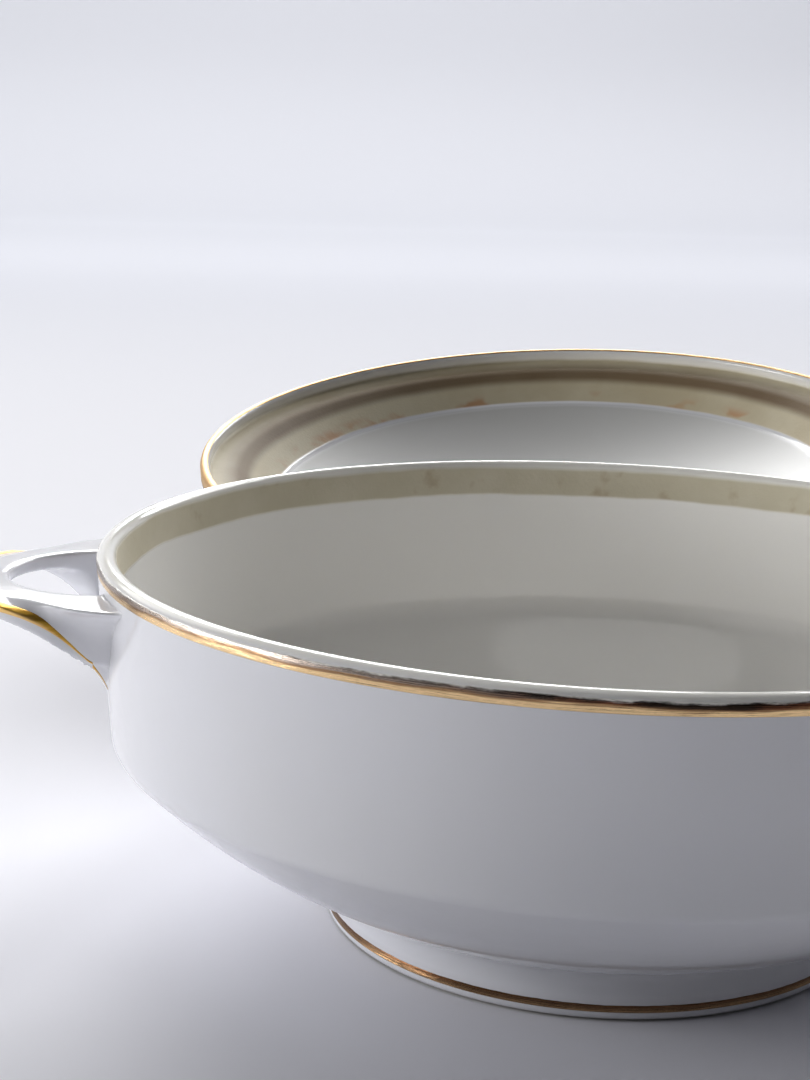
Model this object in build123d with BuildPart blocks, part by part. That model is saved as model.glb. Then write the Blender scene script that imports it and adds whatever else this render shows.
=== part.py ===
from build123d import *
from math import asin, cos, degrees, radians, sin, sqrt
import os

# Covered porcelain serving bowl: a round footed bowl with two pierced handles, and its lid.
# Millimetres, +Z up, the origin on the bowl's axis at table level, the handles along -X and +X.
# The lid lies off the bowl: upside down behind it, on its knob, tipped towards the bowl's wall.

# ---- bowl -------------------------------------------------------------------------------
rim_radius = 110.0
bowl_height = 82.0
lip_radius = 2.1              # the lip is a half round, twice this thick
wall_taper = 4.4              # degrees from upright
outer_wall_length = 37.0
outer_knuckle_radius = 4.0
belly_start = 45.0            # degrees from upright where the wall turns into the belly
outer_belly_radius = 135.6
outer_belly_end = 69.4        # degrees from upright where the belly meets the foot ring
inner_wall_length = 33.5
inner_knuckle_radius = 9.0
inner_belly_start = 50.0
inner_belly_radius = 122.6
base_radius = 50.0            # flat underside inside the foot ring
base_height = 6.0

# ---- foot ring --------------------------------------------------------------------------
foot_radius = 59.9
foot_inner_radius = 54.6
foot_tread_inset = 1.0        # how far the tread's corners are turned back
foot_waist_inset = 0.5        # the ring is drawn in a little above its tread
foot_waist_height = 4.4
foot_cove = 0.5               # depth of the hollow between the waist and the belly

# ---- handles ----------------------------------------------------------------------------
handle_centre = 108.0         # the finger hole's centre, just outside the wall
handle_top = 76.4
fan_angles = (0, 15, 30, 42, 52, 60, 67, 73, 79, 85, 90, 100)
# the arm's section: each dimension at the outer end, at the wall, and how late it changes
finger_edge = (20.3, 19.5, 1)         # radii are from the hole's centre
top_edge = (27.3, 34.5, 6)
ridge_radius = (33.0, 20.0, 7)
ridge_height = (76.2, 60.7, 4.6)
lip_in = (1.0, 4.5, 6)                # from the ridge in to the lower edge
lip_down = (3.0, 4.6, 2)              # and down to it
inner_depth = (3.0, 7.0, 6)           # of the face round the finger hole
# the leaf under the arms
web_top = 62.0                        # the leaf's height inside the finger hole
leaf_tip = 48.8                       # height of the leaf's point on the wall
leaf_top = 67.0
leaf_corners = ((22.5, leaf_top), (9.7, 51.6), (1.8, leaf_tip))     # half its outline
leaf_front = ((106.2, leaf_tip - 1), (110.4, 59.2), (118.0, leaf_top))
leaf_back = 99.0                      # inside the wall, which then cuts the leaf's back
leaf_depth = 21.0

# ---- lid --------------------------------------------------------------------------------
lid_radius = 116.9
lid_height = 68.0             # from the edge to the knob's top
lid_centre = (30.8, 222.9, 69.5)
lid_tilt = 8.65               # degrees from level
lid_tilt_heading = -123.6     # the direction in which the upturned lid is lower
# the lid's section, upright with its edge at height 0: radius, height
edge_round = 1.6
seat_outer = Vector(114.0, 4.3)     # the unglazed seat runs from here
seat_inner = Vector(105.5, 5.6)     # to here, and rests on the bowl's lip
band_inner = Vector(93.3, 14.6)     # end of the unglazed band inside the seat
edge_top = Vector(lid_radius, 6.0)
edge_bevel = Vector(115.7, 7.4)
cove_foot = Vector(106.0, 11.2)
cove_middle = Vector(100.5, 14.6)
shoulder = Vector(92.0, 21.5)
dome_inside = 33.0
dome_outside = 38.5
# the knob, with depths below its top
knob_top_radius = 15.0
knob_radius = 18.0
knob_round = Vector(17.0, 0.8)      # the middle of its rounded upper edge
knob_edge = (2.5, 5.5)              # where its upright edge starts and ends
knob_neck = Vector(14.0, 8.0)       # under the disc, where the stem begins
stem_radius = 8.5
stem_waist = 48.0                   # height of the stem's narrowest part
stem_spread = 3.5                   # how much wider the stem is at the dome
stem_step = 0.4                     # the upright step in which the stem ends on the dome
stem_root = 2.0                     # how deep the stem is set into the dome

# ---- gilding ----------------------------------------------------------------------------
gold = 0.12                   # thickness of the fired gold
band_height = 3.9             # from the lip's top to the rim band's lower edge
rim_turn = 40                 # degrees by which the band goes over the lip
edge_turn = -60               # and over the lid's edge
edge_band_top = 5.4           # the band's upper edge on the lid
foot_line = (0.25, 0.7)       # its edges, as shares of the foot ring's lower slope
knob_line = (2.9, 5.1)        # its edges, below the knob's top
stripe_above = (0.34, 0.08, 4)    # how far the handle's stripe goes up from the ridge
stripe_below = 0.12               # and how far down, as shares of the faces beside it


def turned(draw):
    """A turned piece: the closed outline that draw() makes, revolved once round the Z axis."""
    with BuildPart() as piece:
        with BuildSketch(Plane.XZ):
            with BuildLine():
                draw()
            make_face()
        revolve(axis=Axis.Z)
    return piece.part


# ---- the bowl's outline, worked out once and used by the shell, the foot and the gilding --
taper = radians(wall_taper)
down_the_wall = Vector(-sin(taper), -cos(taper))
lip_centre = Vector(rim_radius - lip_radius, bowl_height - lip_radius)
lip_outer = lip_centre + Vector(lip_radius, 0)
lip_inner = lip_centre - Vector(lip_radius, 0)


def outer_outline(start, length):
    """The outside of the bowl, from the lip down to the foot ring. Returns its last point."""
    wall = Line(start, start + down_the_wall * length)
    knuckle = JernArc(wall @ 1, wall % 1, outer_knuckle_radius, wall_taper - belly_start)
    belly = JernArc(knuckle @ 1, knuckle % 1, outer_belly_radius, belly_start - outer_belly_end)
    return belly @ 1


def draw_bowl():
    """The shell's section: lip, outside, the seat of the foot ring, base and inside."""
    ThreePointArc(lip_inner, lip_centre + Vector(0, lip_radius), lip_outer)
    joint = outer_outline(lip_outer, outer_wall_length)
    Polyline(joint, (base_radius, base_height), (0, base_height))
    inside_wall = Line(lip_inner, lip_inner + down_the_wall * inner_wall_length)
    inside_knuckle = JernArc(
        inside_wall @ 1, inside_wall % 1, inner_knuckle_radius, wall_taper - inner_belly_start
    )
    bowl_floor = JernArc(
        inside_knuckle @ 1, inside_knuckle % 1, inner_belly_radius, inner_belly_start - 90
    )
    floor_edge = bowl_floor @ 1
    Polyline(floor_edge, (0, floor_edge.Y), (0, base_height))


def draw_bowl_core():
    """The bowl's outside filled in: what the handles are cut back to."""
    Polyline((0, bowl_height), (lip_outer.X, bowl_height), lip_outer)
    joint = outer_outline(lip_outer, outer_wall_length)
    Polyline(joint, (base_radius, base_height), (0, base_height), (0, bowl_height))


bowl_shell = turned(draw_bowl)
bowl_core = turned(draw_bowl_core)

with BuildLine(mode=Mode.PRIVATE):
    foot_joint = outer_outline(lip_outer, outer_wall_length)


# ---- foot ring: a slightly coved ring, luted under the belly ------------------------------
foot_corner = Vector(foot_radius, foot_tread_inset)
foot_waist = Vector(foot_radius - foot_waist_inset, foot_waist_height)


def draw_foot():
    tread_outer = Vector(foot_radius - foot_tread_inset, 0)
    tread_inner = Vector(foot_inner_radius + foot_tread_inset, 0)
    Polyline(tread_inner, tread_outer, foot_corner, foot_waist)
    ThreePointArc(foot_waist, (foot_waist + foot_joint) / 2 - Vector(foot_cove, 0), foot_joint)
    Line(foot_joint, (base_radius, base_height))
    Line((base_radius, base_height), (foot_inner_radius, foot_tread_inset))
    Line((foot_inner_radius, foot_tread_inset), tread_inner)


foot_ring = turned(draw_foot)


# ---- gilding of the bowl: bands that follow the porcelain, face to face with it -----------
def draw_gilded_edge(centre, radius, turn, wall_end, outward):
    """A band over part of a rounded edge and along the wall beside it, as far as wall_end.

    turn is how far it goes over the round, and outward the wall's own direction outwards.
    """
    def on_round(angle, distance):
        return centre + Vector(cos(radians(angle)), sin(radians(angle))) * distance

    over = radius + gold
    ThreePointArc(on_round(0, radius), on_round(turn / 2, radius), on_round(turn, radius))
    Line(on_round(turn, radius), on_round(turn, over))
    ThreePointArc(on_round(turn, over), on_round(turn / 2, over), on_round(0, over))
    Polyline(on_round(0, over), wall_end + outward * gold, wall_end, on_round(0, radius))


def draw_rim_band():
    low = lip_outer + down_the_wall * ((band_height - lip_radius) / cos(taper))
    draw_gilded_edge(lip_centre, lip_radius, rim_turn, low, Vector(cos(taper), -sin(taper)))


rim_gilding = turned(draw_rim_band)


def draw_foot_line():
    low, high = (foot_corner + (foot_waist - foot_corner) * share for share in foot_line)
    Polyline(low, high, high + Vector(gold, 0), low + Vector(gold, 0), low)


foot_gilding = turned(draw_foot_line)


# ---- handles: a half ring on fan planes round the finger hole, over a pointed leaf --------
def at_angle(dimension, angle):
    """A swept dimension's value at a fan angle from the handle's outer end."""
    at_end, at_wall, lateness = dimension
    return at_end + (at_wall - at_end) * (min(angle, 90) / 90) ** lateness


def handle_section(angle):
    """The arm's corners (radius from the hole's centre, height) at a fan angle.

    Towards the wall the top edge flares, and the ridge and the lower edge sweep down and in.
    """
    finger = at_angle(finger_edge, angle)
    ridge = Vector(at_angle(ridge_radius, angle), at_angle(ridge_height, angle))
    return [
        Vector(finger, handle_top),
        Vector(at_angle(top_edge, angle), handle_top),
        ridge,
        ridge - Vector(at_angle(lip_in, angle), at_angle(lip_down, angle)),
        Vector(finger, handle_top - at_angle(inner_depth, angle)),
    ]


def outward_normal(start, end):
    """The normal of a section's edge, on the left of its direction: out of the porcelain."""
    along = (end - start).normalized()
    return Vector(-along.Y, along.X)


def stripe_section(angle):
    """The gold stripe's section: a thin angle that wraps the ridge, wider on its upper side."""
    above, ridge, below = handle_section(angle)[1:4]
    upper = ridge + (above - ridge) * at_angle(stripe_above, angle)
    lower = ridge + (below - ridge) * stripe_below
    upper_out = outward_normal(above, ridge) * gold
    lower_out = outward_normal(ridge, below) * gold
    return [upper, ridge, lower, lower + lower_out, ridge + upper_out + lower_out, upper + upper_out]


def fan_loft(section, angles, side, end):
    """Half a handle, lofted through sections on planes that fan round the finger hole.

    side is +1 or -1 for the half, and end is -1 for the handle along -X, +1 for the one along +X.
    """
    with BuildPart() as half:
        for angle in angles:
            turn = radians(angle)
            outward = Vector(end * cos(turn), side * sin(turn), 0)
            fan = Plane(
                origin=(end * handle_centre, 0, 0), x_dir=outward, z_dir=outward.cross(Vector(0, 0, 1))
            )
            with BuildSketch(fan):
                with BuildLine():
                    Polyline(*section(angle), close=True)
                make_face()
        loft(ruled=True)
    return half.part


def make_leaf(end):
    """The pointed leaf that carries the arms down the wall: a V from the front, thin at its tip."""
    with BuildPart() as leaf:
        with BuildSketch(Plane.YZ.offset(end * leaf_back)):
            with BuildLine():
                right_half = Polyline(*leaf_corners)
                left_half = mirror(right_half, about=Plane.YZ)
                Line(right_half @ 0, left_half @ 0)
                Line(right_half @ 1, left_half @ 1)
            make_face()
        extrude(amount=end * leaf_depth)
        with BuildSketch(Plane.XZ):
            with BuildLine():
                front = ThreePointArc(*((end * x, z) for x, z in leaf_front))
                back_foot = (end * leaf_back, leaf_front[0][1])
                Polyline(front @ 1, (end * leaf_back, leaf_top), back_foot, front @ 0)
            make_face()
        extrude(amount=leaf_corners[0][0], both=True, mode=Mode.INTERSECT)
        with Locations((end * handle_centre, 0, web_top)):
            Cylinder(
                finger_edge[1],
                leaf_top - web_top,
                align=(Align.CENTER, Align.CENTER, Align.MIN),
                mode=Mode.SUBTRACT,
            )
    return leaf.part


def make_handle(end):
    """One handle: two mirrored arms and the leaf, cut back to the bowl's outside."""
    with BuildPart() as handle:
        add(fan_loft(handle_section, fan_angles, 1, end))
        add(fan_loft(handle_section, fan_angles, -1, end))
        add(make_leaf(end))
        add(bowl_core, mode=Mode.SUBTRACT)
    return handle.part


def make_stripe(end, handle):
    """The handle's gold stripe, along the ridge of both arms as far as the wall."""
    with BuildPart() as stripe:
        add(fan_loft(stripe_section, fan_angles[:-2], 1, end))
        add(fan_loft(stripe_section, fan_angles[:-2], -1, end))
        add(handle, mode=Mode.SUBTRACT)
    return stripe.part


left_handle = make_handle(-1)
right_handle = make_handle(1)
left_handle_gilding = make_stripe(-1, left_handle)
right_handle_gilding = make_stripe(1, right_handle)


# ---- lid: made upright with its edge at height 0, then laid down where it lies ------------
heading = radians(lid_tilt_heading)
tilt = radians(lid_tilt)
lid_up = Vector(-sin(tilt) * cos(heading), -sin(tilt) * sin(heading), -cos(tilt))
lid_place = Plane(origin=lid_centre, x_dir=(-sin(heading), cos(heading), 0), z_dir=lid_up).location

edge_centre = Vector(lid_radius - edge_round, edge_round)
edge_inner = edge_centre - Vector(edge_round, 0)
edge_outer = edge_centre + Vector(edge_round, 0)


def cap_radius(top, edge):
    """The radius of the sphere whose cap has its top on the axis and passes through edge."""
    drop = top - edge.Y
    return (edge.X**2 + drop**2) / (2 * drop)


def draw_cap(top, edge):
    """Half the arc of that cap, from the axis to its edge."""
    sphere = cap_radius(top, edge)
    JernArc((0, top), (1, 0), sphere, -degrees(asin(edge.X / sphere)))


def draw_lid():
    """Edge, seat and hollow below; the shoulder, the cove and the dome above."""
    ThreePointArc(edge_inner, edge_centre - Vector(0, edge_round), edge_outer)
    Polyline(edge_inner, seat_outer, seat_inner, band_inner)
    draw_cap(dome_inside, band_inner)
    Line((0, dome_inside), (0, dome_outside))
    draw_cap(dome_outside, shoulder)
    ThreePointArc(shoulder, cove_middle, cove_foot)
    Polyline(cove_foot, edge_bevel, edge_top, edge_outer)


def dome_height(radius):
    """Height of the dome's outside at a radius near its middle."""
    sphere = cap_radius(dome_outside, shoulder)
    return dome_outside - sphere + sqrt(sphere**2 - radius**2)


def draw_knob():
    """A waisted stem under a broad, flat-topped disc, standing on the dome."""
    top = Vector(knob_top_radius, lid_height)
    edge_start, edge_end = (Vector(knob_radius, lid_height - depth) for depth in knob_edge)
    neck = Vector(knob_neck.X, lid_height - knob_neck.Y)
    root = dome_outside - stem_root
    foot_width = stem_radius + stem_spread
    stem_foot = Vector(foot_width, dome_height(foot_width) + stem_step)
    ThreePointArc(top, Vector(knob_round.X, lid_height - knob_round.Y), edge_start)
    Polyline(edge_start, edge_end, neck)
    ThreePointArc(neck, (stem_radius, stem_waist), stem_foot)
    Polyline(stem_foot, (foot_width, root), (0, root), (0, lid_height), top)


upright_lid = turned(draw_lid)
with BuildPart() as upright_knob:
    add(turned(draw_knob))
    add(upright_lid, mode=Mode.SUBTRACT)


def draw_edge_band():
    wall_end = Vector(lid_radius, edge_band_top)
    draw_gilded_edge(edge_centre, edge_round, edge_turn, wall_end, Vector(1, 0))


def draw_knob_band():
    high, low = (Vector(knob_radius, lid_height - depth) for depth in knob_line)
    Polyline(low, high, high + Vector(gold, 0), low + Vector(gold, 0), low)


lid_shell = upright_lid.moved(lid_place)
lid_knob = upright_knob.part.moved(lid_place)
lid_edge_gilding = turned(draw_edge_band).moved(lid_place)
lid_knob_gilding = turned(draw_knob_band).moved(lid_place)

# ---- every piece is labelled and written ---------------------------------------------------
os.makedirs("parts", exist_ok=True)
pieces = {
    "bowl_shell": bowl_shell,
    "foot_ring": foot_ring,
    "left_handle": left_handle,
    "right_handle": right_handle,
    "rim_gilding": rim_gilding,
    "foot_gilding": foot_gilding,
    "left_handle_gilding": left_handle_gilding,
    "right_handle_gilding": right_handle_gilding,
    "lid_shell": lid_shell,
    "lid_knob": lid_knob,
    "lid_edge_gilding": lid_edge_gilding,
    "lid_knob_gilding": lid_knob_gilding,
}
for node, piece in pieces.items():
    piece.label = node
    export_step(piece, f"parts/{node}.step")
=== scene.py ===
from math import asin, cos, degrees, hypot, pi, radians, sin, sqrt

import bmesh
import bpy
import numpy as np
from mathutils import Matrix, Vector
from mathutils.bvhtree import BVHTree


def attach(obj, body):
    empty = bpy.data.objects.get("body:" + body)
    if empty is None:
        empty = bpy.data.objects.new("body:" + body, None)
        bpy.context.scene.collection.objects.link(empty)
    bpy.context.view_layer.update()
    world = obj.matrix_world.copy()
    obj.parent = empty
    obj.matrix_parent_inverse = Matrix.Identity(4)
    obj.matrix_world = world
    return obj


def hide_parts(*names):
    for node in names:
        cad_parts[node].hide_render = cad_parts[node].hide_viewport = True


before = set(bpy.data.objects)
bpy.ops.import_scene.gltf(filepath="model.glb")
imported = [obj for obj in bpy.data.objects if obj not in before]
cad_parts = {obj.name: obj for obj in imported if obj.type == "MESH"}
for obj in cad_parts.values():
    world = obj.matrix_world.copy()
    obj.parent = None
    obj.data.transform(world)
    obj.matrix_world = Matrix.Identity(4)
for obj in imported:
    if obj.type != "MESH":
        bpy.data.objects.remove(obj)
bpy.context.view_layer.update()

# Covered porcelain bowl with its lid lying upturned behind it. Outlines are drawn in millimetres in
# the part's own frame and made into meshes in metres.
MM = 0.001

# ---- driving dimensions, as in the CAD model ---------------------------------------------------
RIM = 110.0
HEIGHT = 82.0
LIP = 2.1
TAPER = 4.4
BASE = (50.0, 6.0)
FOOT = 59.9
FOOT_INNER = 54.6
FOOT_WAIST = (59.4, 4.4)
# the bowl's sections below the lip: wall length, knuckle radius and turn, belly radius and turn
OUTSIDE = (37.0, 4.0, -40.6, 135.6, -24.4)
INSIDE = (33.5, 9.0, -45.6, 122.6, -40.0)
HOLE = 108.0                     # the finger hole's centre, from the bowl's axis
HOLE_RADIUS = 20.3               # at the handle's outer end
HOLE_NARROWS = 0.8               # towards the wall
HANDLE_TOP = 76.4
HOLE_FACE = 73.4                 # the lower edge of the face round the hole, at the outer end
HOLE_FACE_DROPS = 4.0            # and how far it drops by the wall
LID_RADIUS = 116.9
LID_CENTRE = (30.8, 222.9, 69.5)
LID_TILT = radians(8.65)
LID_HEADING = radians(-123.6)
EDGE = 1.6                       # radius of the lid's rounded edge
BAND_INNER = (93.3, 14.6)
SEAT_INNER = (105.5, 5.6)
SEAT_OUTER = (114.0, 4.3)
SHOULDER = (92.0, 21.5)
COVE = ((100.5, 14.6), (106.0, 11.2))
DOME_INSIDE = 33.0
DOME_OUTSIDE = 38.5
KNOB_RADIUS = 18.0

# ---- finishing dimensions ----------------------------------------------------------------------
GOLD_LIFT = 0.07                 # how far gold stands out from the glaze
LINE_LIFT = 0.05                 # the same for the thin lines on the foot and the knob
GOLD_ROOT = 0.12                 # how deep a gold band is rooted in the porcelain
GOLD_TUCK = 0.03                 # how far its borders dip under the glaze
STRIPE_TUCK = 0.02               # the same for a handle's stripe
RIM_BAND = 3.65                  # the rim's band starts this far below the top of the lip
RIM_BAND_TURN = radians(34)      # and goes this far over its round
FOOT_BAND = (1.85, 3.4)
EDGE_BAND_TURN = radians(-132)   # the lid's band starts this far round its edge
EDGE_BAND_TOP = 5.3
KNOB_BAND = (62.9, 65.1)
STRIPE_LEAVES_ARM = 84           # degrees round the finger hole
STRIPE_ON_LEAF = (61.0, 52.8)
FACE_HOLLOW = 0.075              # hollow of the arms' outer face, as a share of its width
LEAF_CORNER = 0.9                # rounding of the leaf's sides
LEAF_BACK = 1.8                  # the leaf starts this far inside the bowl's surface
LEAF_WALL = 106.0                # the bowl's radius there, about
PATCH_FRONT, PATCH_BACK = 0.3, 2.2   # the wall patch lies between these depths in the bowl's wall
VOXEL = 0.45
MELT_ROUNDS = 12


# ---- outlines ----------------------------------------------------------------------------------
class Pen:
    """Draws an outline of (radius, height) points, finely enough to look round."""

    def __init__(self, start):
        self.points = [tuple(start)]
        self.heading = 0.0

    def line(self, end, pitch=1.5):
        r0, z0 = self.points[-1]
        r1, z1 = end
        steps = max(1, round(hypot(r1 - r0, z1 - z0) / pitch))
        for i in range(1, steps + 1):
            self.points.append((r0 + (r1 - r0) * i / steps, z0 + (z1 - z0) * i / steps))
        self.heading = degrees(np.arctan2(z1 - z0, r1 - r0))
        return self

    def ahead(self, length, pitch=1.5):
        r, z = self.points[-1]
        turn = radians(self.heading)
        return self.line((r + length * cos(turn), z + length * sin(turn)), pitch)

    def arc(self, radius, turn, pitch=0.8):
        """An arc that leaves along the heading; turn is in degrees, to the left if positive."""
        r, z = self.points[-1]
        side = 1 if turn > 0 else -1
        start = radians(self.heading)
        centre = (r - side * radius * sin(start), z + side * radius * cos(start))
        steps = max(4, round(radius * abs(radians(turn)) / pitch))
        for i in range(1, steps + 1):
            a = start + radians(turn) * i / steps
            self.points.append((centre[0] + side * radius * sin(a), centre[1] - side * radius * cos(a)))
        self.heading += turn
        return self

    def through(self, middle, end, pitch=0.6):
        """The arc from the last point through middle to end."""
        a, b, c = (np.array(p, float) for p in (self.points[-1], middle, end))
        d = 2 * np.cross(b - a, c - a)
        ba, ca = b - a, c - a
        across = ca[1] * (ba @ ba) - ba[1] * (ca @ ca)
        along = ba[0] * (ca @ ca) - ca[0] * (ba @ ba)
        centre = a + np.array([across, along]) / d
        radius = np.linalg.norm(a - centre)
        start = np.arctan2(*(a - centre)[::-1])
        turn = (np.arctan2(*(c - centre)[::-1]) - start + pi) % (2 * pi) - pi
        if np.sign(turn) != np.sign(d):
            turn += 2 * pi * np.sign(d)
        steps = max(3, round(radius * abs(turn) / pitch))
        for i in range(1, steps + 1):
            angle = start + turn * i / steps
            self.points.append((centre[0] + radius * cos(angle), centre[1] + radius * sin(angle)))
        return self


def rounded(points, radius, steps=4):
    """Corners of an open outline rounded with a small curve of about that radius."""
    out = [points[0]]
    for before, corner, after in zip(points, points[1:], points[2:]):
        a, b, c = (np.array(p, float) for p in (before, corner, after))
        u, v = a - b, c - b
        lu, lv = np.linalg.norm(u), np.linalg.norm(v)
        if abs(np.cross(u, v)) < 0.05 * lu * lv:
            out.append(corner)
            continue
        cut = min(radius, 0.45 * lu, 0.45 * lv)
        p, q = b + u / lu * cut, b + v / lv * cut
        for i in range(steps + 1):
            t = i / steps
            out.append(tuple((1 - t) ** 2 * p + 2 * t * (1 - t) * b + t**2 * q))
    out.append(points[-1])
    return out


def lengths(points):
    """Distance along an outline at each of its points."""
    steps = np.linalg.norm(np.diff(np.array(points), axis=0), axis=1)
    return np.concatenate([[0], np.cumsum(steps)])


# ---- meshes ------------------------------------------------------------------------------------
def add_object(name, points, faces, values=None, crease=40.0, laid=None):
    """An object from points in millimetres. values maps attribute names to one number a point.

    The materials read the points as drawn, from the attribute place, even where laid moves the mesh.
    """
    drawn = np.asarray(points, float) * MM
    moved = drawn if laid is None else drawn @ np.array(laid.to_3x3()).T + np.array(laid.translation)
    mesh = bpy.data.meshes.new(name)
    mesh.from_pydata(moved.tolist(), [], faces)
    mesh.update()
    work = bmesh.new()
    work.from_mesh(mesh)
    bmesh.ops.recalc_face_normals(work, faces=work.faces)
    work.to_mesh(mesh)
    work.free()
    mesh.shade_smooth()
    mesh.set_sharp_from_angle(angle=radians(crease))
    for key, numbers in (values or {}).items():
        layer = mesh.attributes.new(key, "FLOAT", "POINT")
        layer.data.foreach_set("value", np.asarray(numbers, np.float32))
    place = mesh.attributes.new("place", "FLOAT_VECTOR", "POINT")
    place.data.foreach_set("vector", drawn.astype(np.float32).ravel())
    obj = bpy.data.objects.new(name, mesh)
    bpy.context.scene.collection.objects.link(obj)
    return obj


def turned(name, outline, turns, values=None, shape=None, laid=None):
    """An outline revolved round the Z axis. An outline that never meets the axis is closed on itself.

    values maps names to one number for each outline point; shape moves the points afterwards.
    """
    outline = np.array(outline, float)
    on_axis = outline[:, 0] < 1e-6
    angle = np.arange(turns) * 2 * pi / turns
    points, rows, picked = [], [], []
    for i, (r, z) in enumerate(outline):
        start = len(points)
        if on_axis[i]:
            points.append((0, 0, z))
            rows.append([start] * turns)
            picked.append(i)
        else:
            points.extend(zip(r * np.cos(angle), r * np.sin(angle), np.full(turns, z)))
            rows.append(list(range(start, start + turns)))
            picked.extend([i] * turns)
    pairs = list(zip(rows, rows[1:]))
    if not on_axis.any():
        pairs.append((rows[-1], rows[0]))
    faces = []
    for low, high in pairs:
        for j in range(turns):
            k = (j + 1) % turns
            face = list(dict.fromkeys([low[j], low[k], high[k], high[j]]))
            if len(face) > 2:
                faces.append(face)
    points = np.array(points, float)
    if shape:
        points = shape(points)
    picked = np.array(picked)
    made = {key: np.asarray(numbers, float)[picked] for key, numbers in (values or {}).items()}
    return add_object(name, points, faces, made, laid=laid)


def hand_thrown(points):
    """Porcelain is never quite round: its radius wavers by about a tenth of a millimetre."""
    x, y, z = points.T
    r = np.hypot(x, y)
    a = np.arctan2(y, x)
    high = np.clip(z / HEIGHT, 0, 1) ** 2
    waver = 0.10 * np.cos(2 * a + 0.7) + 0.07 * np.cos(3 * a + 2.1) + 0.03 * np.cos(7 * a)
    scale = 1 + waver * high / np.maximum(r, 60)
    return np.column_stack([x * scale, y * scale, z])


# ---- bowl --------------------------------------------------------------------------------------
def down_the_wall(pen, section, knuckle_pitch):
    """From the lip's side: the wall, the knuckle and the belly."""
    wall, knuckle, knuckle_turn, belly, belly_turn = section
    pen.heading = -90 - TAPER
    return pen.ahead(wall).arc(knuckle, knuckle_turn, knuckle_pitch).arc(belly, belly_turn)


lip_centre = (RIM - LIP, HEIGHT - LIP)
outer = down_the_wall(Pen((RIM, HEIGHT - LIP)), OUTSIDE, 0.35).points[::-1]
foot_joint = outer[0]

pen = Pen((0, BASE[1]))
pen.line(BASE, 4).line(foot_joint)
pen.points += outer[1:]
pen.through((lip_centre[0], HEIGHT), (RIM - 2 * LIP, HEIGHT - LIP), 0.25)
down_the_wall(pen, INSIDE, 0.5)
pen.line((0, pen.points[-1][1]), 3)
bowl_outline = pen.points
top_at = int(np.argmax([z for r, z in bowl_outline]))
bowl_run = lengths(bowl_outline)
bowl_run = bowl_run - bowl_run[top_at]          # millimetres from the top of the lip, inwards positive

bowl = turned("bowl_body", bowl_outline, 480, {"run": bowl_run}, hand_thrown)
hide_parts("bowl_shell")

# ---- foot ring ---------------------------------------------------------------------------------
foot_points = rounded(
    [
        (BASE[0] - 1, BASE[1] + 0.6),
        (FOOT_INNER - 0.6, BASE[1] - 1.6),
        (FOOT_INNER, 1.0),
        (FOOT_INNER + 1.0, 0.0),
        (FOOT - 1.0, 0.0),
        (FOOT, 1.0),
        FOOT_WAIST,
    ],
    0.7,
)
pen = Pen(foot_points[-1])
pen.points = foot_points
pen.through((FOOT_WAIST[0] - 0.1, foot_joint[1] - 1.6), (foot_joint[0] + 3.0, foot_joint[1] + 1.3), 0.4)
pen.points += [(foot_joint[0] + 1.0, foot_joint[1] + 0.9), (foot_joint[0] - 4, foot_joint[1] - 1.2)]
tread = [1.0 if z < 0.3 else 0.0 for r, z in pen.points]
foot = turned("foot", pen.points, 360, {"bare": tread}, hand_thrown)
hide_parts("foot_ring")


# ---- handles -----------------------------------------------------------------------------------
def wall_radius(z):
    """The bowl's outside above the knuckle."""
    return RIM - (HEIGHT - LIP - z) * sin(radians(TAPER)) / cos(radians(TAPER))


ARM_SECTIONS = (
    # angle from the outer end, radius of the top edge, radius and height of the ridge,
    # how far the lower edge lies inside and under it, the stripe's width above and below it
    (0, 27.3, 33.0, 76.1, 0.9, 3.0, 2.5, 1.7),
    (25, 27.3, 33.0, 76.1, 0.9, 3.0, 2.5, 1.7),
    (45, 27.3, 32.8, 75.8, 1.0, 3.2, 2.5, 1.6),
    (52, 27.4, 32.3, 75.3, 1.1, 3.4, 2.3, 1.4),
    (60, 27.9, 31.5, 74.1, 1.3, 3.6, 1.9, 1.0),
    (67, 29.2, 30.3, 72.2, 1.6, 3.9, 1.5, 0.7),
    (72, 30.6, 28.7, 70.0, 2.0, 4.1, 1.1, 0.5),
    (76, 31.8, 26.2, 67.3, 2.8, 4.0, 0.8, 0.4),
    (80, 32.9, 22.8, 64.1, 3.5, 3.4, 0.6, 0.35),
    (84, 33.8, 20.5, 62.1, 4.0, 2.9, 0.5, 0.3),
    (92, 35.4, 20.0, 61.6, 4.0, 2.9, 0.5, 0.3),
    (101, 37.0, 20.0, 61.6, 4.0, 2.9, 0.5, 0.3),
)


def smooth_path(points, steps):
    """Catmull-Rom through rows of numbers."""
    p = np.array(points, float)
    p = np.vstack([2 * p[0] - p[1], p, 2 * p[-1] - p[-2]])
    out = []
    for i in range(1, len(p) - 2):
        for t in np.linspace(0, 1, steps, endpoint=False):
            a, b, c, d = p[i - 1 : i + 3]
            square, cube = 2 * a - 5 * b + 4 * c - d, 3 * b - a - 3 * c + d
            out.append(0.5 * (2 * b + (c - a) * t + square * t**2 + cube * t**3))
    out.append(p[-2])
    return np.array(out)


half_arm = smooth_path(ARM_SECTIONS, 8)
arm_sections = np.vstack([half_arm[1:][::-1] * (-1, 1, 1, 1, 1, 1, 1, 1), half_arm])


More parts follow.
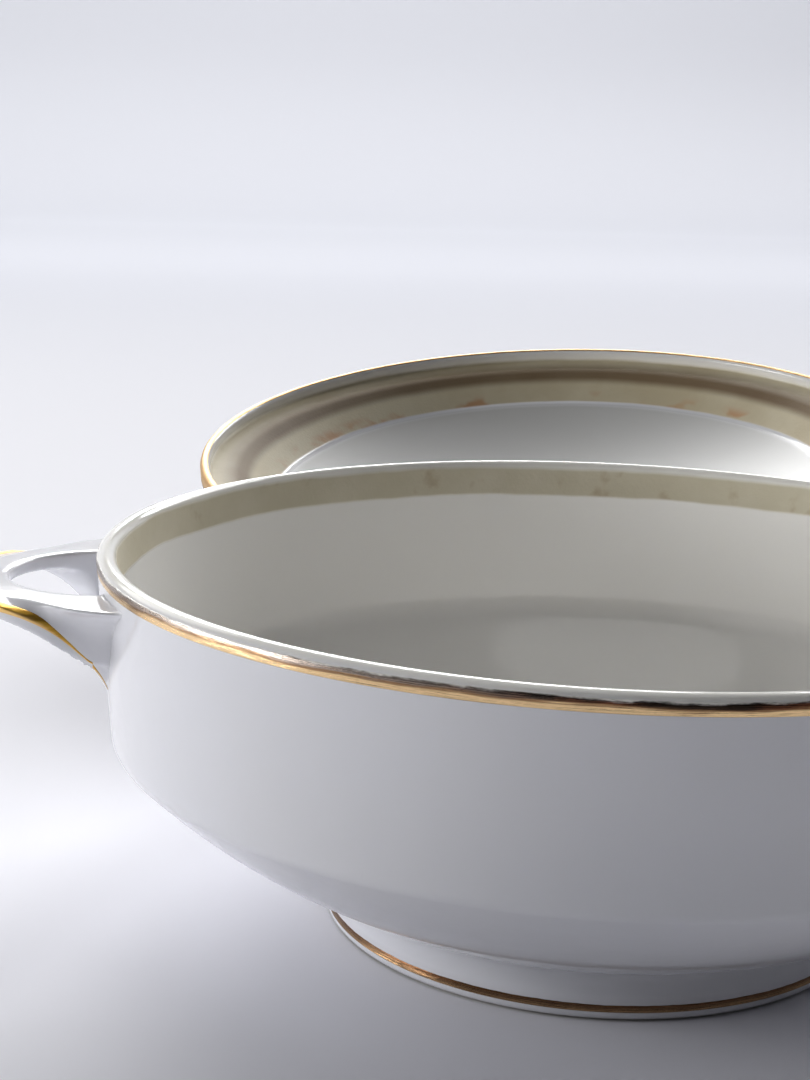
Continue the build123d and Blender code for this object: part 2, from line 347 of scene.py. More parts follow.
def arm_section(row):
    """Closed (radius from the hole, height) section of the arms, with a hollow outer face."""
    angle, top_radius, ridge_radius, ridge_height, inwards, drop = row[:6]
    s = min(abs(angle), 90) / 90
    inner = HOLE_RADIUS - HOLE_NARROWS * s
    top = np.array([top_radius, HANDLE_TOP])
    ridge = np.array([ridge_radius, ridge_height])
    lower = ridge - (inwards, drop)
    along = ridge - top
    into = np.array([along[1], -along[0]]) * FACE_HOLLOW
    face = [top + along * t + into * 4 * t * (1 - t) for t in (0, 0.15, 0.3, 0.45, 0.6, 0.75, 0.9, 1)]
    below = (inner, HOLE_FACE - HOLE_FACE_DROPS * s**6)
    return np.array([(inner, HANDLE_TOP)] + [tuple(p) for p in face] + [tuple(lower), below])


def tube(loops):
    """Vertices and faces of a closed tube through equally long loops of points."""
    count = len(loops[0])
    points = np.concatenate(loops)
    faces = [list(range(count))[::-1], list(range(len(points) - count, len(points)))]
    for i in range(len(loops) - 1):
        for j in range(count):
            k = (j + 1) % count
            faces.append([i * count + j, i * count + k, (i + 1) * count + k, (i + 1) * count + j])
    return points, faces


def arm_loops():
    """The arms' sections, each on its plane of the fan round the finger hole."""
    loops = []
    for row in arm_sections:
        radius, z = arm_section(row).T
        turn = radians(row[0])
        loops.append(np.column_stack([HOLE + radius * cos(turn), radius * sin(turn), z]))
    return loops


LEAF_HEIGHTS = (48.6, 50.2, 53.0, 57.5, 62.2)
LEAF_HALF_WIDTHS = (1.4, 5.6, 10.4, 15.4, 20.2)
LEAF_REACH = (106.9, 107.2, 107.9, 109.5, 111.6)
PATCH_HEIGHTS = (46.5, 51.6, 66.4, 77.7)
PATCH_HALF_WIDTHS = (5.0, 13.5, 27.5, 38.5)
PATCH_TOP = 77.2


def leaf_loops():
    """The pointed leaf under the finger hole, as level sections from its tip up."""
    loops = []
    for z in np.linspace(LEAF_HEIGHTS[0], LEAF_HEIGHTS[-1], 30):
        half = np.interp(z, LEAF_HEIGHTS, LEAF_HALF_WIDTHS)
        out = np.interp(z, LEAF_HEIGHTS, LEAF_REACH)
        shy = min(3.0, 0.5 * half)
        side = [(out - LEAF_CORNER, half, z), (out, half - shy, z)]
        front = side + [(out + 0.3, 0, z)] + [(x, -y, z) for x, y, z in side[::-1]]
        turn = np.linspace(-asin(half / LEAF_WALL), asin(half / LEAF_WALL), 9)
        inside = wall_radius(z) - LEAF_BACK
        back = [(inside * cos(a), inside * sin(a), z) for a in turn]
        loops.append(np.array(front + back))
    return loops


def wall_patch_loops():
    """A slab just under the bowl's surface, so that the handle flows into the wall."""
    loops, columns = [], 31
    for z in np.linspace(PATCH_HEIGHTS[0], PATCH_TOP, 40):
        half = np.interp(z, PATCH_HEIGHTS, PATCH_HALF_WIDTHS)
        turn = np.linspace(-asin(half / RIM), asin(half / RIM), columns)
        front, back = (
            np.column_stack([radius * np.cos(turn), radius * np.sin(turn), np.full(columns, z)])
            for radius in (wall_radius(z) - PATCH_FRONT, wall_radius(z) - PATCH_BACK)
        )
        loops.append(np.concatenate([front, back[::-1]]))
    return loops


def evaluated(obj):
    """The object's mesh with its modifiers applied, as a new mesh."""
    depsgraph = bpy.context.evaluated_depsgraph_get()
    depsgraph.update()
    return bpy.data.meshes.new_from_object(obj.evaluated_get(depsgraph))


def melt_together(name, parts, voxel, rounds):
    """One closed skin round overlapping closed parts, with its edges and corners softened."""
    points, faces, base = [], [], 0
    for part_points, part_faces in parts:
        points.append(part_points)
        faces += [[base + i for i in face] for face in part_faces]
        base += len(part_points)
    obj = add_object(name, np.concatenate(points), faces)
    remesh = obj.modifiers.new("skin", "REMESH")
    remesh.mode = "VOXEL"
    remesh.voxel_size = voxel * MM
    soften = obj.modifiers.new("soften", "SMOOTH")
    soften.factor = 0.5
    soften.iterations = rounds
    mesh = evaluated(obj)
    bpy.data.objects.remove(obj)
    count = len(mesh.vertices)
    flat = np.empty(count * 3, np.float32)
    mesh.vertices.foreach_get("co", flat)
    polygons = [list(p.vertices) for p in mesh.polygons]
    return flat.reshape(-1, 3) / MM, polygons


def at_handle(points, end):
    """Points drawn along +X, turned to the handle at that end and wavering with the wall."""
    return hand_thrown(np.asarray(points) * (end, end, 1))


handle_parts = [tube(arm_loops()), tube(leaf_loops()), tube(wall_patch_loops())]
handle_points, handle_faces = melt_together("handle_blank", handle_parts, VOXEL, MELT_ROUNDS)
handles = []
for node, end in (("left_handle", -1), ("right_handle", 1)):
    handle = add_object(node + "_porcelain", at_handle(handle_points, end), handle_faces, crease=80)
    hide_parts(node)
    handles.append(handle)


# ---- gilding -----------------------------------------------------------------------------------
def ribbon(name, grid, surface, values):
    """A thin closed ribbon laid on a surface, from a grid of points near it in millimetres.

    Its border dips under the surface, so that no edge stands up.
    """
    rows, columns = grid.shape[:2]
    tree = BVHTree.FromPolygons(*surface)
    top, under = [], []
    for i in range(rows):
        for j in range(columns):
            place, normal, _, _ = tree.find_nearest(Vector(grid[i, j]))
            border = i in (0, rows - 1) or j in (0, columns - 1)
            top.append(tuple(place + normal * (-STRIPE_TUCK if border else GOLD_LIFT)))
            under.append(tuple(place - normal * GOLD_ROOT))
    faces = []
    last = rows * columns
    for i in range(rows - 1):
        for j in range(columns - 1):
            a = i * columns + j
            faces.append([a, a + 1, a + columns + 1, a + columns])
            faces.append([last + a, last + a + columns, last + a + columns + 1, last + a + 1])
    edge = list(range(columns)) + [i * columns + columns - 1 for i in range(1, rows)]
    edge += [(rows - 1) * columns + j for j in range(columns - 2, -1, -1)]
    edge += [i * columns for i in range(rows - 2, 0, -1)]
    for a, b in zip(edge, edge[1:] + edge[:1]):
        faces.append([a, b, last + b, last + a])
    both = {key: np.concatenate([np.ravel(v), np.ravel(v)]) for key, v in values.items()}
    return add_object(name, np.array(top + under), faces, both, crease=80)


def stripe_grid():
    """Points near the stripe, in rows along the ridge of both arms and down the leaf's sides.

    The columns run from above the ridge to below it, and their values across the stripe go with them.
    """
    keys = []
    for row in arm_sections[len(arm_sections) // 2 :]:
        if row[0] > STRIPE_LEAVES_ARM:
            break
        turn = radians(row[0])
        section = arm_section(row)
        on_face, ridge, lower = (
            np.array([HOLE + section[i][0] * cos(turn), section[i][0] * sin(turn), section[i][1]])
            for i in (5, 8, 9)
        )
        keys.append((ridge, on_face - ridge, lower - ridge, row[6], row[7]))
    for z in np.linspace(*STRIPE_ON_LEAF, 14):
        half = np.interp(z, LEAF_HEIGHTS, LEAF_HALF_WIDTHS)
        out = np.interp(z, LEAF_HEIGHTS, LEAF_REACH)
        fade = (z - 52.4) / 9
        corner = np.array([out - LEAF_CORNER, half, z])
        inwards, over_the_front = np.array([-1.0, 0, 0]), np.array([0.9, -3.0, 0])
        keys.append((corner, inwards, over_the_front, 0.5 * fade, 0.3 * fade))
    steps = np.array([-1, -0.8, -0.6, -0.4, -0.2, 0, 0.25, 0.5, 0.75, 1])
    rows = []
    for ridge, up, down, above, under in keys:
        up, down = up / np.linalg.norm(up), down / np.linalg.norm(down)
        rows.append([ridge + (up * -t * above if t < 0 else down * t * under) for t in steps])
    rows = np.array(rows)
    rows = np.concatenate([rows[1:][::-1] * (1, -1, 1), rows])
    return rows, np.broadcast_to(np.linspace(1, 0, len(steps)), rows.shape[:2])


stripes = []
for node, end in (("left_handle_gilding", -1), ("right_handle_gilding", 1)):
    grid, across = stripe_grid()
    grid = at_handle(grid.reshape(-1, 3), end).reshape(grid.shape)
    surface = (at_handle(handle_points, end).tolist(), handle_faces)
    stripe = ribbon(node + "_stripe", grid, surface, {"across": across})
    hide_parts(node)
    stripes.append(stripe)


def band(name, outline, turns, upper, lift=GOLD_LIFT, shape=None, laid=None):
    """A gilt band on an outline of points from its lower to its upper edge, pushed out by lift.

    upper(angle) says how much of the outline the gold covers there, from 0 to 1.
    """
    outline = np.array(outline, float)
    run = lengths(outline) / lengths(outline)[-1]
    slope = np.gradient(outline, axis=0)
    slope /= np.linalg.norm(slope, axis=1)[:, None]
    outwards = np.column_stack([slope[:, 1], -slope[:, 0]])
    fractions = np.array([0, 0.03, 0.1, 0.2, 0.3, 0.4, 0.5, 0.6, 0.7, 0.8, 0.9, 0.97, 1.0])
    borders = np.minimum(1, np.minimum(fractions, 1 - fractions) / fractions[1])
    rise = borders * (lift + GOLD_TUCK) - GOLD_TUCK
    points, across = [], []
    for j in range(turns):
        a = 2 * pi * j / turns
        where = fractions * upper(a)
        r, z = (np.interp(where, run, outline[:, axis]) for axis in (0, 1))
        out_r, out_z = (np.interp(where, run, outwards[:, axis]) for axis in (0, 1))
        ring_r = np.concatenate([r + out_r * rise, (r - out_r * GOLD_ROOT)[::-1]])
        ring_z = np.concatenate([z + out_z * rise, (z - out_z * GOLD_ROOT)[::-1]])
        points += [(rr * cos(a), rr * sin(a), zz) for rr, zz in zip(ring_r, ring_z)]
        across += list(fractions) + list(fractions[::-1])
    count = 2 * len(fractions)
    faces = []
    for j in range(turns):
        for i in range(count):
            k, m = (i + 1) % count, (j + 1) % turns
            faces.append([j * count + i, j * count + k, m * count + k, m * count + i])
    points = np.array(points)
    if shape:
        points = shape(points)
    return add_object(name, points, faces, {"across": across}, crease=80, laid=laid)


def ragged(angle, seed, size):
    """A worn edge: a sum of waves, from about -size to size."""
    total = 0.0
    for k, weight in ((3, 0.5), (8, 0.4), (19, 0.3), (43, 0.3), (97, 0.25), (181, 0.2)):
        total += weight * sin(k * angle + seed * k * 1.7)
    return size * total / 1.2


rim_outline = [(wall_radius(z), z) for z in np.linspace(HEIGHT - RIM_BAND, HEIGHT - LIP, 8)]
for turn in np.linspace(0, RIM_BAND_TURN, 12)[1:]:
    rim_outline.append((lip_centre[0] + LIP * cos(turn), lip_centre[1] + LIP * sin(turn)))
rim_gold = band("rim_gold", rim_outline, 1080, lambda a: 0.93 + ragged(a, 1.3, 0.02), shape=hand_thrown)
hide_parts("rim_gilding")

foot_side = ((1.0, FOOT_WAIST[1]), (FOOT, FOOT_WAIST[0]))
foot_outline = [(np.interp(z, *foot_side), z) for z in np.linspace(*FOOT_BAND, 6)]
foot_gold = band(
    "foot_gold", foot_outline, 720, lambda a: 0.95 + ragged(a, 0.4, 0.04), LINE_LIFT, hand_thrown
)
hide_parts("foot_gilding")


# ---- lid: drawn upright with its edge at height 0, then laid down where it lies ----------------
def cap(top, edge):
    """A spherical cap's outline from the axis out to edge."""
    drop = top - edge[1]
    sphere = (edge[0] ** 2 + drop**2) / (2 * drop)
    return [(r, top - sphere + sqrt(sphere**2 - r**2)) for r in np.linspace(0, edge[0], 40)]


hollow = cap(DOME_INSIDE, BAND_INNER)
pen = Pen(SHOULDER)
pen.through(*COVE, 1.0)
cove = pen.points[::-1]
dome = cap(DOME_OUTSIDE, SHOULDER)[::-1]
pen = Pen((LID_RADIUS - 2 * EDGE, EDGE))
pen.through((LID_RADIUS - EDGE, 0), (LID_RADIUS, EDGE), 0.25)
below = rounded(hollow[-2:] + [SEAT_INNER, SEAT_OUTER] + pen.points[:1], 1.6, 6)
above = rounded([pen.points[-1], (LID_RADIUS, 6.0), (LID_RADIUS - 1.2, 7.4), cove[0]], 1.0, 5)
lid_outline = hollow[:-1] + below[1:] + pen.points[1:] + above[1:] + cove[1:] + dome[1:]
lid_run = lengths(lid_outline)
seat_at = int(np.argmin([hypot(r - SEAT_INNER[0], z - SEAT_INNER[1]) for r, z in lid_outline]))
lid_run = lid_run - lid_run[seat_at]      # millimetres from the seat's inner corner, outwards positive

lid_lean = sin(LID_TILT)
lid_up = Vector((-lid_lean * cos(LID_HEADING), -lid_lean * sin(LID_HEADING), -cos(LID_TILT)))
lid_x = Vector((-sin(LID_HEADING), cos(LID_HEADING), 0))
lid_y = lid_up.cross(lid_x)
lid_turn = Matrix((lid_x, lid_y, lid_up)).transposed().to_4x4()
lid_matrix = Matrix.Translation(Vector(LID_CENTRE) * MM) @ lid_turn

lid = turned("lid_body", lid_outline, 480, {"run": lid_run}, laid=lid_matrix)
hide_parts("lid_shell")

knob_points = [
    (0, 36.6),
    (12, 36.6),
    (12.0, 38.4),
    (9.6, 40.6),
    (8.6, 44.0),
    (8.6, 48.0),
    (10.4, 54.0),
    (14.0, 60.0),
    (KNOB_RADIUS, 62.5),
    (KNOB_RADIUS, 65.5),
    (17.0, 67.3),
    (15.0, 68.0),
    (0, 68.0),
]
knob = turned("knob", rounded(knob_points, 1.6, 6), 192, laid=lid_matrix)
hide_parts("lid_knob")

edge_outline = []
for turn in np.linspace(EDGE_BAND_TURN, 0, 24)[:-1]:
    edge_outline.append((LID_RADIUS - EDGE + EDGE * cos(turn), EDGE + EDGE * sin(turn)))
edge_outline += [(LID_RADIUS, z) for z in np.linspace(EDGE, EDGE_BAND_TOP, 10)]
edge_gold = band(
    "lid_edge_gold", edge_outline, 720, lambda a: 0.95 + ragged(a, 2.2, 0.04), laid=lid_matrix
)
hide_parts("lid_edge_gilding")
knob_outline = [(KNOB_RADIUS, z) for z in np.linspace(*KNOB_BAND, 5)]
knob_gold = band(
    "knob_gold", knob_outline, 192, lambda a: 0.95 + ragged(a, 0.9, 0.04), LINE_LIFT, laid=lid_matrix
)
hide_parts("lid_knob_gilding")

for piece in (lid, knob, edge_gold, knob_gold):
    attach(piece, "lid")
for piece in (bowl, foot, rim_gold, foot_gold, *handles, *stripes):
    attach(piece, "bowl")


# ---- materials ---------------------------------------------------------------------------------
class Shader:
    """A node material. Each call adds a node and gives one of its outputs.

    Sockets are given by name, with _ for a space, or by number, as i0, i1 and so on.
    """

    def __init__(self, name):
        self.material = bpy.data.materials.new(name)
        self.material.use_nodes = True
        self.tree = self.material.node_tree
        self.tree.nodes.clear()
        self.place = self.node("ShaderNodeAttribute", out="Vector", settings={"attribute_name": "place"})

    def node(self, kind, out=0, settings=None, **sockets):
        made = self.tree.nodes.new(kind)
        for key, value in (settings or {}).items():
            setattr(made, key, value)
        for key, value in sockets.items():
            numbered = key[0] == "i" and key[1:].isdigit()
            socket = made.inputs[int(key[1:]) if numbered else key.replace("_", " ")]
            if isinstance(value, bpy.types.NodeSocket):
                self.tree.links.new(value, socket)
            elif hasattr(socket.default_value, "__len__") and not hasattr(value, "__len__"):
                socket.default_value = (value,) * len(socket.default_value)
            else:
                socket.default_value = value
        return made.outputs[out]

    def math(self, operation, a, b):
        return self.node("ShaderNodeMath", settings={"operation": operation}, i0=a, i1=b)

    def swing(self, field, amount):
        """A field that runs from 0 to 1, centred on 0 and scaled."""
        return self.math("MULTIPLY", self.math("SUBTRACT", field, 0.5), amount)

    def ramp(self, value, low, high, start=0.0, end=1.0):
        """A smooth step from start to end as value goes from low to high."""
        return self.node(
            "ShaderNodeMapRange", settings={"interpolation_type": "SMOOTHSTEP"},
            i0=value, i1=low, i2=high, i3=start, i4=end,
        )

    def noise(self, scale, detail=2.0, rough=0.5, stretch=(1, 1, 1)):
        where = self.node("ShaderNodeMapping", Vector=self.place, Scale=stretch)
        return self.node("ShaderNodeTexNoise", Vector=where, Scale=scale, Detail=detail, Roughness=rough)

    def value(self, name):
        return self.node("ShaderNodeAttribute", out="Fac", settings={"attribute_name": name})

    def mix(self, amount, a, b):
        """Colour a where amount is 0, b where it is 1."""
        made = self.tree.nodes.new("ShaderNodeMix")
        made.data_type = "RGBA"
        for index, value in ((0, amount), (6, a), (7, b)):
            if isinstance(value, bpy.types.NodeSocket):
                self.tree.links.new(value, made.inputs[index])
            elif index:
                made.inputs[index].default_value = (*value, 1.0)
            else:
                made.inputs[index].default_value = value
        return made.outputs[2]

    def blend(self, amount, a, b):
        """Number a where amount is 0, b where it is 1."""
        return self.node("ShaderNodeMix", i0=amount, i2=a, i3=b)

    def bump(self, height, strength, depth, under=None):
        sockets = {"Height": height, "Strength": strength, "Distance": depth}
        if under is not None:
            sockets["Normal"] = under
        return self.node("ShaderNodeBump", **sockets)

    def finish(self, **sockets):
        surface = self.node("ShaderNodeBsdfPrincipled", **sockets)
        output = self.tree.nodes.new("ShaderNodeOutputMaterial")
        self.tree.links.new(surface, output.inputs["Surface"])
        return self.material


WHITE = (0.775, 0.78, 0.815)
# Cream glaze, made brighter as painted light on the lip's top.
CREAM_AND_PAINTED_LIGHT = (0.93, 0.915, 0.865)
BISCUIT = (0.60, 0.55, 0.41)
# Dark brown of the painted shade in the lid seat's corner.
SEAT_CORNER_PAINTED_SHADE = (0.17, 0.105, 0.045)
SPECK = (0.16, 0.12, 0.09)
BURNT = (0.20, 0.10, 0.05)
# Near black of the painted reflection on the rim's gold.
PAINTED_DARK_REFLECTION = (0.045, 0.03, 0.022)
# The bowl's inside, lighter than the outside glaze: painted light.
BOWL_INSIDE_PAINTED_LIGHT = (0.905, 0.895, 0.87)
# The lid's hollow, darkened to grey: painted shade.
LID_HOLLOW_PAINTED_SHADE = (0.52, 0.52, 0.51)


def glaze(name, zones=None, inner=BOWL_INSIDE_PAINTED_LIGHT, inner_rough=0.12):
    """Glazed porcelain.

    zones(shader) gives the unglazed amount and its colour, then the amounts of the cream glaze,
    brightened as painted light, and of the inner colour, which is painted light inside the bowl and
    painted shade in the lid's hollow.
    """
    s = Shader(name)
    cloud = s.noise(14.0, 3.0)
    colour = s.mix(s.ramp(cloud, 0.35, 0.7), WHITE, (0.775, 0.775, 0.80))
    spots = s.tree.nodes.new("ShaderNodeTexVoronoi")
    s.tree.links.new(s.place, spots.inputs["Vector"])
    spots.inputs["Scale"].default_value = 75.0
    chosen = s.ramp(s.node("ShaderNodeSeparateColor", Color=spots.outputs["Color"]), 0.93, 0.94)
    dot = s.ramp(spots.outputs["Distance"], 0.030, 0.055, 1.0, 0.0)
    speck = s.math("MULTIPLY", dot, chosen)
    colour = s.mix(s.math("MULTIPLY", speck, 0.65), colour, SPECK)
    orange_peel = s.bump(s.noise(260.0, 2.0), 0.10, 0.0002)
    sag = s.bump(s.noise(28.0, 2.0, 0.45), 0.25, 0.0009, orange_peel)
    rough = s.blend(s.noise(40.0, 3.0), 0.07, 0.15)
    if zones:
        bare, bare_colour, cream_and_light, inside = zones(s)
        colour = s.mix(inside, colour, inner)
        rough = s.blend(inside, rough, inner_rough)
        # The cream zones, brightened as painted light.
        colour = s.mix(cream_and_light, colour, CREAM_AND_PAINTED_LIGHT)
        colour = s.mix(bare, colour, bare_colour)
        rough = s.blend(bare, rough, 0.62)
        grain = s.math("MULTIPLY", s.noise(900.0, 4.0, 0.6), bare)
        sag = s.bump(grain, 0.35, 0.0003, sag)
    return s.finish(
        Base_Color=colour, Roughness=rough, Normal=sag, IOR=1.5, Subsurface_Weight=0.08,
        Subsurface_Radius=(0.9, 0.9, 1.0), Subsurface_Scale=0.002,
    )


def mouth_zones(s):
    """The lip is creamier and lightened with painted light on its top, and a wiped band inside it shows
    the biscuit.
    """
    run = s.math("ADD", s.value("run"), s.swing(s.noise(30.0, 4.0), 2.6))
    bare = s.math("MULTIPLY", s.ramp(run, 2.3, 3.6), s.ramp(run, 9.6, 10.6, 1.0, 0.0))
    blotch = s.noise(38.0, 4.0, 0.6)
    tan = s.mix(s.ramp(blotch, 0.3, 0.7), BISCUIT, (0.67, 0.62, 0.49))
    tan = s.mix(s.ramp(s.noise(120.0, 3.0), 0.6, 0.75), tan, (0.50, 0.42, 0.28))
    cream_and_light = s.math("MULTIPLY", s.ramp(run, -3.6, -1.2), s.ramp(run, 2.6, 12.0, 1.0, 0.0))
    # The last amount is the inside, which takes the colour of painted light.
    return s.math("MULTIPLY", bare, 0.92), tan, cream_and_light, s.ramp(run, 5.0, 9.0)


def lid_zones(s):
    """The seat and the band inside it are unglazed and stained with rust, and darkened with painted
    shade, darkest in the seat's corner.
    """
    run = s.math("ADD", s.value("run"), s.swing(s.noise(30.0, 4.0), 1.6))
    bare = s.math("MULTIPLY", s.ramp(run, -15.6, -14.4), s.ramp(run, 8.0, 9.6, 1.0, 0.0))
    tan = s.mix(s.ramp(s.noise(34.0, 4.0, 0.6), 0.3, 0.7), (0.63, 0.57, 0.42), (0.55, 0.48, 0.33))
    rust = s.math("MULTIPLY", s.ramp(run, -9.0, -13.5), s.ramp(s.noise(55.0, 3.0), 0.5, 0.62))
    tan = s.mix(s.math("MULTIPLY", rust, 0.7), tan, (0.50, 0.24, 0.10))
    # Painted shade in the seat's corner groove.
    dark = s.math("MULTIPLY", s.ramp(run, -7.5, -3.2), s.ramp(run, -2.0, 8.0, 1.0, 0.0))
    dark = s.math("MULTIPLY", dark, s.blend(s.noise(26.0, 3.0), 0.7, 1.1))
    tan = s.mix(dark, tan, SEAT_CORNER_PAINTED_SHADE)
    cream_and_light = s.math("MULTIPLY", s.ramp(run, -22.0, -15.0), s.ramp(run, 9.0, 14.0, 1.0, 0.0))
    cream_and_light = s.math("MULTIPLY", cream_and_light, s.ramp(run, -15.0, -10.0))
    return bare, tan, cream_and_light, s.ramp(run, -19.0, -15.0, 1.0, 0.0)


def tread_zones(s):
    tan = s.mix(s.noise(80.0, 3.0), (0.55, 0.52, 0.45), (0.44, 0.40, 0.33))
    return s.value("bare"), tan, 0.0, 0.0


def gilt(name, colours, shade_from, shade_to, streak=(9, 9, 420), worn=0.0, matt=0.16):
    """Fired gold, brushed on, with its colours from the lower edge to the upper edge.

    The last colour may be a function that makes it from the shader. worn is where along the band the
    gold starts to be rubbed off, and matt its least roughness.
    """
    bright, deep, dark = colours
    s = Shader(name)
    across = s.value("across")
    lines = s.noise(10.0, 4.0, 0.6, streak)
    level = across
    for field, amount in ((s.noise(16.0, 3.0, 0.6), 0.4), (s.noise(60.0, 2.0), 0.4), (lines, 0.7)):
        level = s.math("ADD", level, s.swing(field, amount))
    middle = (shade_from + shade_to) / 2
    colour = s.mix(s.ramp(level, shade_from, middle), bright, deep)
    colour = s.mix(s.ramp(level, middle, shade_to), colour, dark(s) if callable(dark) else dark)
    rough = s.blend(s.noise(90.0, 3.0), matt, matt + 0.14)
    normal = s.bump(lines, 0.5, 0.00025)
    normal = s.bump(s.noise(70.0, 2.0, 0.5, (1, 1, 3)), 0.5, 0.0006, normal)
    sockets = {"Base_Color": colour, "Roughness": rough, "Normal": normal}
    if worn:
        feather = s.swing(s.noise(300.0, 4.0, 0.7, (0.3, 0.3, 1.2)), 0.8)
        rubbed = s.ramp(s.math("ADD", across, feather), worn, worn + 0.22)
        sockets["Base_Color"] = s.mix(rubbed, colour, CREAM_AND_PAINTED_LIGHT)
        sockets["Metallic"] = s.math("SUBTRACT", 1.0, rubbed)
    else:
        sockets["Metallic"] = 1.0
    return s.finish(**sockets)


def rim_painted_reflection(s):
    """Painted reflection of a dark room on the gold: mauve brown where the band passes the left handle,
    near black with red patches beyond the front.
    """
    red = s.ramp(s.noise(45.0, 2.0), 0.52, 0.62)
    dark_reflection = s.mix(red, PAINTED_DARK_REFLECTION, (0.22, 0.085, 0.045))
    where = s.node("ShaderNodeSeparateXYZ", out="X", Vector=s.place)
    return s.mix(s.ramp(where, -0.075, -0.020), (0.44, 0.37, 0.32), dark_reflection)


def dress(obj, material):
    obj.data.materials.clear()
    obj.data.materials.append(material)


dress(bowl, glaze("glaze_bowl", mouth_zones))
dress(foot, glaze("glaze_foot", tread_zones))
# The lid's hollow takes the grey of painted shade.
dress(lid, glaze("glaze_lid", lid_zones, LID_HOLLOW_PAINTED_SHADE, 0.40))
plain_glaze = glaze("glaze_plain")
for piece in (knob, *handles):
    dress(piece, plain_glaze)
# The rim's gold darkens towards its upper edge: painted reflection of a dark room.
rim_colours = ((0.90, 0.66, 0.38), (0.36, 0.22, 0.12), rim_painted_reflection)
edge_colours = ((0.62, 0.42, 0.22), (0.46, 0.30, 0.16), BURNT)
foot_colours = ((0.40, 0.26, 0.14), (0.24, 0.145, 0.08), BURNT)
handle_colours = ((0.86, 0.60, 0.26), (0.62, 0.37, 0.06), (0.40, 0.22, 0.04))
dress(rim_gold, gilt("gold_rim", rim_colours, 0.34, 0.70, worn=0.80))
edge_gilt = gilt("gold_lid_edge", edge_colours, 0.6, 1.2, matt=0.42)
for piece in (edge_gold, knob_gold):
    dress(piece, edge_gilt)
dress(foot_gold, gilt("gold_foot", foot_colours, 0.2, 0.9))
handle_gilt = gilt("gold_handle", handle_colours, 0.25, 1.15, (9, 9, 200), matt=0.36)
for piece in stripes:
    dress(piece, handle_gilt)


# ---- the studio --------------------------------------------------------------------------------
def sweep():
    """A pale floor that curves up into a wall behind, in metres."""
    far, bend, radius, gap = 14.0, 2.6, 1.4, 0.0003
    outline = [(-far, 0.0), (-3.5, 0.0), (bend, 0.0)]
    for a in np.linspace(0, radians(70), 24)[1:]:
        outline.append((bend + radius * sin(a), radius - radius * cos(a)))
    points, faces = [], []
    for y, z in outline:
        points += [(side * far / MM, y / MM, (z - gap) / MM) for side in (-1, 1)]
    for i in range(len(outline) - 1):
        faces.append([2 * i, 2 * i + 1, 2 * i + 3, 2 * i + 2])
    obj = add_object("sweep", points, faces)
    s = Shader("paper")
    away = s.node("ShaderNodeSeparateXYZ", out="Y", Vector=s.place)
    near = s.mix(s.noise(1.5, 2.0), (0.85, 0.85, 0.89), (0.87, 0.87, 0.905))
    # The paper darkens across the far floor and lightens again up the wall: painted shade and light on
    # the backdrop.
    colour = s.mix(s.ramp(away, 0.3, 1.7), near, (0.64, 0.65, 0.70))
    colour = s.mix(s.ramp(away, 1.7, 2.5), colour, (0.55, 0.56, 0.605))
    colour = s.mix(s.ramp(away, 2.6, 3.4), colour, (0.88, 0.89, 0.945))
    obj.data.materials.append(s.finish(Base_Color=colour, Roughness=0.8, Specular_IOR_Level=0.04))
    obj.visible_shadow = False


def dark_card():
    """A dark card, like a studio flag, beside the camera and hidden from it, that stands in for the
    shade of the room in front: the bowl's front reflects it, and it casts no shadow.
    """
    points = [(-60, -340, 60), (420, -40, 60), (420, -40, 420), (-60, -340, 420)]
    obj = add_object("dark_card", points, [[0, 1, 2, 3]])
    s = Shader("black_felt")
    felt = s.mix(s.noise(200.0, 3.0), (0.02, 0.02, 0.022), (0.035, 0.034, 0.036))
    obj.data.materials.append(s.finish(Base_Color=felt, Roughness=0.9))
    obj.visible_camera = False
    obj.visible_shadow = False


def place_light(name, light, place, target):
    obj = bpy.data.objects.new(name, light)
    obj.location = place
    obj.rotation_euler = (Vector(target) - Vector(place)).to_track_quat("-Z", "Y").to_euler()
    bpy.context.scene.collection.objects.link(obj)


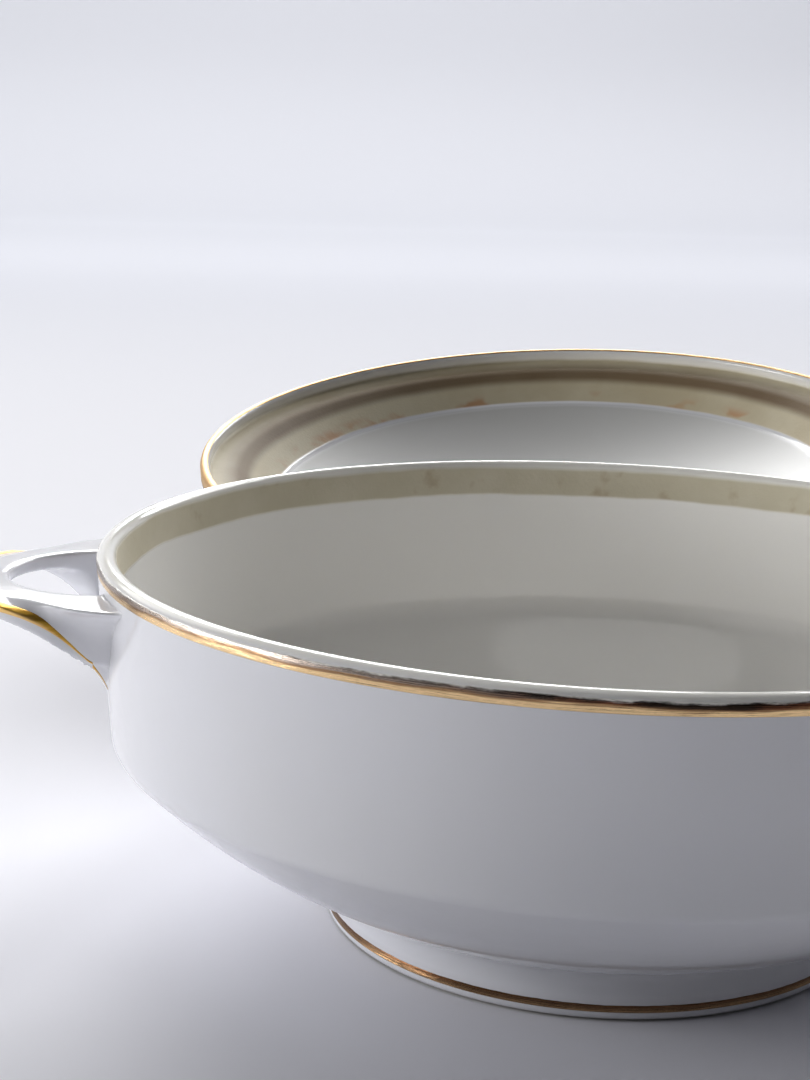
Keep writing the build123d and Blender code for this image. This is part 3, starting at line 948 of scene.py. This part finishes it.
def soft_light(name, place, target, width, height, power):
    """A softbox."""
    light = bpy.data.lights.new(name, "AREA")
    light.shape = "RECTANGLE"
    light.size, light.size_y = width, height
    light.energy = power
    place_light(name, light, place, target)


def far_window(name, to_left, above, strength):
    """A large far window: degrees left of straight behind the bowl, degrees above the table."""
    light = bpy.data.lights.new(name, "SUN")
    light.angle = radians(30.0)
    light.energy = strength
    side, rise = radians(to_left), radians(above)
    towards = Vector((-sin(side) * cos(rise), cos(side) * cos(rise), sin(rise)))
    place_light(name, light, towards * 4, (0, 0, 0))


sweep()
dark_card()
far_window("window_behind_right", -40, 31, 1.7)
far_window("window_behind", 0, 30, 2.0)
far_window("window_behind_left", 35, 31, 0.5)
far_window("window_left", 125, 38, 0.09)
far_window("ceiling", 0, 84, 0.22)
soft_light("reflector_left", (-1.55, 0.12, 0.36), (0.0, 0.0, 0.05), 1.0, 0.5, 13.5)
soft_light("backdrop_light", (0.0, 2.0, 2.4), (0.0, 4.0, 0.9), 4.0, 0.8, 56.0)
world = bpy.data.worlds.new("room")
world.use_nodes = True
world.node_tree.nodes["Background"].inputs["Color"].default_value = (0.80, 0.82, 0.90, 1.0)
world.node_tree.nodes["Background"].inputs["Strength"].default_value = 0.06
bpy.context.scene.world = world
bpy.context.scene.view_settings.view_transform = "Standard"
bpy.context.scene.view_settings.gamma = 0.9

# ---- camera ------------------------------------------------------------------------------------
EYE = (-0.09381, -0.40553, 0.17287)
yaw, pitch, roll = radians(6.90), radians(12.33), radians(1.73)
ahead = Vector((sin(yaw) * cos(pitch), cos(yaw) * cos(pitch), -sin(pitch)))
level = Vector((cos(yaw), -sin(yaw), 0))
upright = level.cross(ahead)
to_right = cos(roll) * level + sin(roll) * upright
to_top = -sin(roll) * level + cos(roll) * upright
lens = bpy.data.cameras.new("camera")
lens.sensor_fit = "VERTICAL"
lens.sensor_height = 36.0
lens.lens = 65.0
lens.clip_start = 0.02
camera = bpy.data.objects.new("camera", lens)
aim = Matrix((to_right, to_top, -ahead)).transposed().to_4x4()
camera.matrix_world = Matrix.Translation(EYE) @ aim
bpy.context.scene.collection.objects.link(camera)
bpy.context.scene.camera = camera
